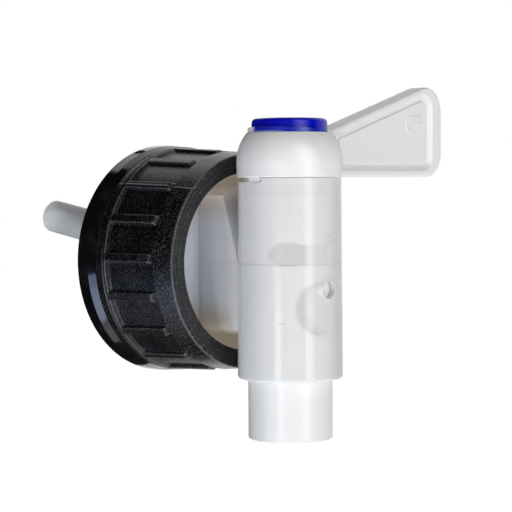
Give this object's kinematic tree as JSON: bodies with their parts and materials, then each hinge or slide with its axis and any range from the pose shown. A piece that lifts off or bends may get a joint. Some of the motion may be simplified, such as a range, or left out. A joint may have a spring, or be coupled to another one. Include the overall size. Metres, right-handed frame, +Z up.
{
  "type": "dosing tap",
  "caption": "Quarter-turn dosing tap with lever, spout, air tube and ribbed screw cap, for drawing liquid from a screw-neck container laid on its side.",
  "frame": {"origin": "centre of the sealing plane on the cap axis, where the lip of the container's neck meets the gasket", "axes": "+Y along the cap axis into the container, +Z up along the barrel, +X towards the lever when the tap is closed"},
  "size_m": [0.1004, 0.1195, 0.1009],
  "materials": {
    "natural_polyethylene": "translucent natural polyethylene, satin",
    "white_polyethylene": "milky white polyethylene, satin",
    "blue_polyethylene": "deep blue polyethylene, gloss",
    "clear_polyethylene": "translucent natural polyethylene tube, satin",
    "foam_polyethylene": "closed-cell white foam, matte",
    "black_polypropylene": "black polypropylene with a fine spark-eroded texture",
    "black_gloss_polypropylene": "black polypropylene, polished"
  },
  "bodies": {
    "valve": {"valve_body": "natural_polyethylene", "air_tube": "clear_polyethylene", "neck_gasket": "foam_polyethylene"},
    "key": {"valve_key": "white_polyethylene", "key_plug": "blue_polyethylene"},
    "cap": {"screw_cap": "black_polypropylene", "tamper_band": "black_gloss_polypropylene"}
  },
  "joints": [
    {"name": "key_turn", "type": "hinge", "parent": "valve", "child": "key", "pos_m": [0, -0.0312, 0], "axis": [0, 0, 1], "range_deg": [-90, 0]},
    {"name": "cap_turn", "type": "hinge", "parent": "valve", "child": "cap", "pos_m": [0, 0, 0], "axis": [0, 1, 0], "continuous": true}
  ]
}
